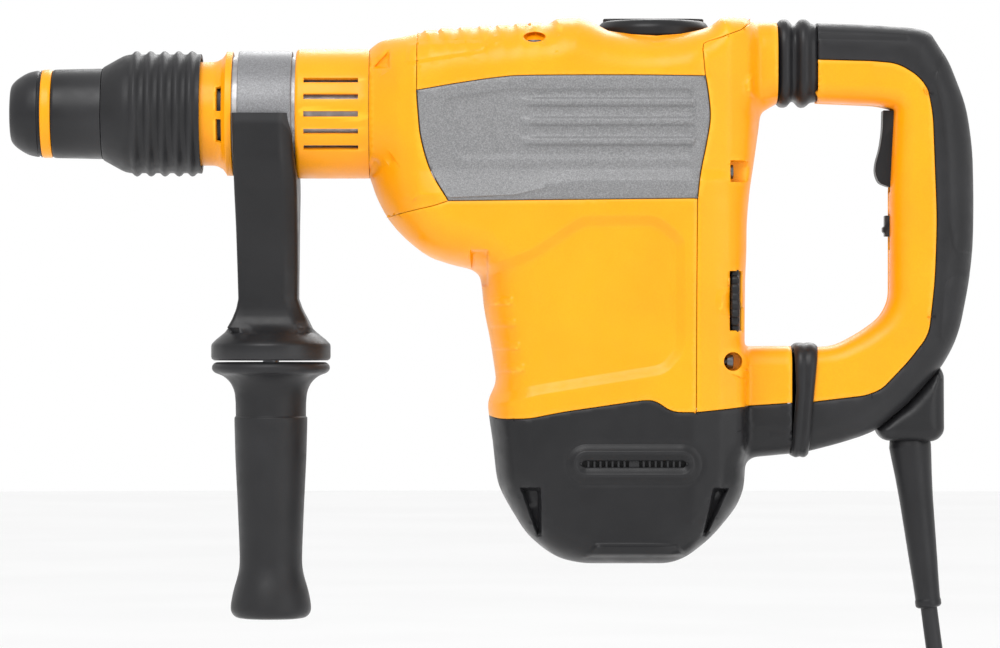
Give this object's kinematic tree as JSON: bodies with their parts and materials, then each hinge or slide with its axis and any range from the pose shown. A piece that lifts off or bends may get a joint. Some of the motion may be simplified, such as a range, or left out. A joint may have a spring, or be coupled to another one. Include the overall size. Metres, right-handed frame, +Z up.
{
  "type": "demolition hammer",
  "caption": "Corded combination demolition hammer with vertical motor, chuck for an 18 mm shank, clamp-on side handle and sprung rear D handle with coiled mains lead.",
  "frame": {"origin": "middle of the rear handle's grip, where a hand holds the tool", "axes": "-X along the tool axis towards the chuck, +Z up, -Y the side with the speed dial and the screw heads"},
  "size_m": [0.4711, 0.1, 0.5017],
  "materials": {
    "yellow_shell": "satin glass-filled plastic",
    "yellow_ring": "satin",
    "black_shell": "fine-grained moulded plastic",
    "grey_panel": "speckled matt plastic",
    "grey_band": "grey satin paint on steel",
    "soft_black": "soft-touch rubber",
    "black_rubber": "moulded rubber",
    "cord_rubber": "rubber sheath",
    "cord_tie": "woven hook-and-loop strap",
    "pin_brass": "nickel-plated",
    "control_plastic": "satin plastic",
    "die_cast": "die cast",
    "bearing_steel": "ground",
    "gear_steel": "hardened, oiled",
    "hammer_steel": "ground and greased",
    "spring_steel": "drawn wire",
    "zinc_steel": "blackened screws",
    "iron_core": "laminated, lacquered",
    "copper": "turned copper",
    "carbon": "pressed carbon",
    "inner_plastic": "moulded"
  },
  "bodies": {
    "housing": {"front_cover": "yellow_shell", "main_housing": "yellow_shell", "rear_housing": "yellow_shell", "bottom_cap": "black_shell", "side_panel_left": "grey_panel", "side_panel_right": "grey_panel", "barrel_cover": "yellow_shell", "nose_collar": "yellow_shell", "gear_case": "die_cast", "front_bearing": "bearing_steel", "stator": "iron_core", "shaft_bearings": "bearing_steel", "brush_holder": "inner_plastic", "carbon_brushes": "carbon", "control_module": "inner_plastic", "housing_screws": "zinc_steel", "pivot_pin": "bearing_steel", "bellows": "black_rubber", "lower_boot": "black_rubber"},
    "motor": {"armature_shaft": "gear_steel", "armature_core": "iron_core", "commutator": "copper", "fan": "inner_plastic"},
    "crank": {"crank_gear": "gear_steel"},
    "intermediate": {"intermediate_gear": "gear_steel", "bevel_pinion": "gear_steel"},
    "piston": {"piston": "die_cast", "wrist_pin": "bearing_steel"},
    "connecting_rod": {"connecting_rod": "die_cast"},
    "striker": {"striker": "hammer_steel"},
    "beat_piece": {"beat_piece": "hammer_steel"},
    "spindle": {"spindle_tube": "hammer_steel", "crown_wheel": "gear_steel", "dust_cap": "black_rubber", "retainer_ring": "yellow_ring", "chuck_cover": "black_shell", "lock_rollers": "bearing_steel", "lock_spring": "spring_steel"},
    "lock_sleeve": {"lock_sleeve": "soft_black"},
    "side_handle": {"clamp_band": "grey_band", "handle_yoke": "black_shell"},
    "side_grip": {"side_grip": "soft_black", "grip_bolt": "zinc_steel"},
    "rear_handle": {"handle_shell_left": "yellow_shell", "handle_shell_right": "yellow_shell", "handle_overmould": "soft_black", "switch_module": "inner_plastic", "handle_spring": "spring_steel", "cord_guard": "black_shell", "cord_sleeve": "black_rubber", "cord": "cord_rubber", "cord_coil": "cord_rubber", "cord_tie": "cord_tie", "plug_body": "cord_rubber", "plug_pins": "pin_brass"},
    "trigger": {"trigger": "control_plastic"},
    "lock_button": {"lock_button": "control_plastic"},
    "mode_knob": {"mode_knob": "control_plastic"},
    "speed_dial": {"speed_dial": "control_plastic"}
  },
  "joints": [
    {"name": "motor_spin", "type": "hinge", "parent": "housing", "child": "motor", "pos_m": [-0.16, 0, 0], "axis": [0, 0, 1], "continuous": true},
    {"name": "crank_turn", "type": "hinge", "parent": "housing", "child": "crank", "pos_m": [-0.128, 0, 0], "axis": [0, 0, 1], "continuous": true},
    {"name": "intermediate_turn", "type": "hinge", "parent": "housing", "child": "intermediate", "pos_m": [-0.19, 0, 0], "axis": [0, 0, 1], "continuous": true},
    {"name": "spindle_turn", "type": "hinge", "parent": "housing", "child": "spindle", "pos_m": [-0.3, 0, 0.0447], "axis": [1, 0, 0], "continuous": true},
    {"name": "sleeve_slide", "type": "slide", "parent": "spindle", "child": "lock_sleeve", "axis": [1, 0, 0], "range_m": [0, 0.007], "stiffness_N_per_m": 1500, "springref_m": -0.012, "deforming": ["lock_spring"]},
    {"name": "piston_slide", "type": "slide", "parent": "housing", "child": "piston", "axis": [1, 0, 0], "range_m": [0, 0.03]},
    {"name": "rod_swing", "type": "hinge", "parent": "piston", "child": "connecting_rod", "pos_m": [-0.198, 0, 0.0447], "axis": [0, 0, 1], "range_deg": [-15.8, 15.8]},
    {"name": "striker_slide", "type": "slide", "parent": "housing", "child": "striker", "axis": [1, 0, 0], "range_m": [-0.004, 0.008]},
    {"name": "beat_slide", "type": "slide", "parent": "housing", "child": "beat_piece", "axis": [1, 0, 0], "range_m": [-0.004, 0.003]},
    {"name": "side_handle_swing", "type": "hinge", "parent": "housing", "child": "side_handle", "pos_m": [-0.323, 0, 0.0447], "axis": [1, 0, 0], "continuous": true},
    {"name": "grip_twist", "type": "hinge", "parent": "side_handle", "child": "side_grip", "pos_m": [-0.323, 0, -0.12], "axis": [0, 0, 1], "range_deg": [0, 360]},
    {"name": "handle_pivot", "type": "hinge", "parent": "housing", "child": "rear_handle", "pos_m": [-0.08, 0, -0.084], "axis": [0, -1, 0], "range_deg": [0, 2.5], "stiffness_Nm_per_rad": 400, "springref_deg": -1.72, "deforming": ["bellows", "lower_boot", "handle_spring"]},
    {"name": "trigger_pull", "type": "hinge", "parent": "rear_handle", "child": "trigger", "pos_m": [-0.0155, 0, 0.044], "axis": [0, -1, 0], "range_deg": [0, 8], "stiffness_Nm_per_rad": 0.8, "springref_deg": -8.59},
    {"name": "lock_slide", "type": "slide", "parent": "rear_handle", "child": "lock_button", "axis": [0, 0, -1], "range_m": [0, 0.005]},
    {"name": "mode_turn", "type": "hinge", "parent": "housing", "child": "mode_knob", "pos_m": [-0.1356, 0, 0.085], "axis": [0, 0, 1], "range_deg": [0, 90]},
    {"name": "dial_turn", "type": "hinge", "parent": "housing", "child": "speed_dial", "pos_m": [-0.0973, -0.0222, -0.047], "axis": [1, 0, 0], "range_deg": [0, 270]}
  ],
  "couplings": [
    {"joint": "crank_turn", "follows": "motor_spin", "ratio": -0.18519},
    {"joint": "intermediate_turn", "follows": "motor_spin", "ratio": -0.2},
    {"joint": "spindle_turn", "follows": "motor_spin", "ratio": 0.083333}
  ]
}
